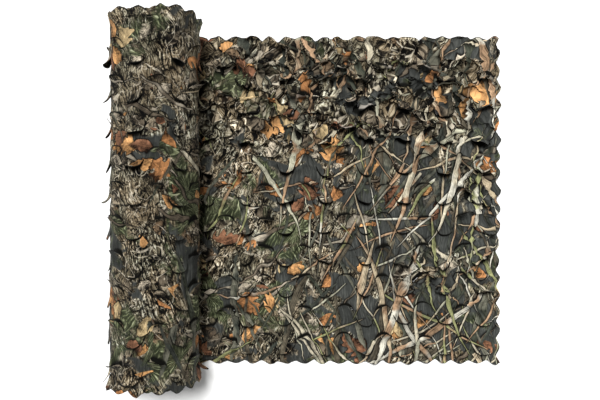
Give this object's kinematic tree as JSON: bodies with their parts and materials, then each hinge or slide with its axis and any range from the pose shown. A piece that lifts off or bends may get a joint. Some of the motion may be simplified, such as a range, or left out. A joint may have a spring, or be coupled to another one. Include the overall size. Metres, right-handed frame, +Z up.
{
  "type": "camouflage net, part rolled up",
  "caption": "Scalloped camouflage net with rows of leaf-shaped cuts, wound into a roll with its loose end laid out flat.",
  "frame": {"origin": "middle of the flat spot under the roll, on the ground", "axes": "+X from the roll along the loose end to its free edge, +Y along the roll's axis, +Z up"},
  "size_m": [1.7246, 1.5114, 0.385],
  "materials": {
    "printed_net": "matt printed woven cloth in bark brown, grey and leaf green"
  },
  "bodies": {
    "root": {"net_roll": "printed_net", "loose_end": "printed_net"}
  },
  "joints": []
}
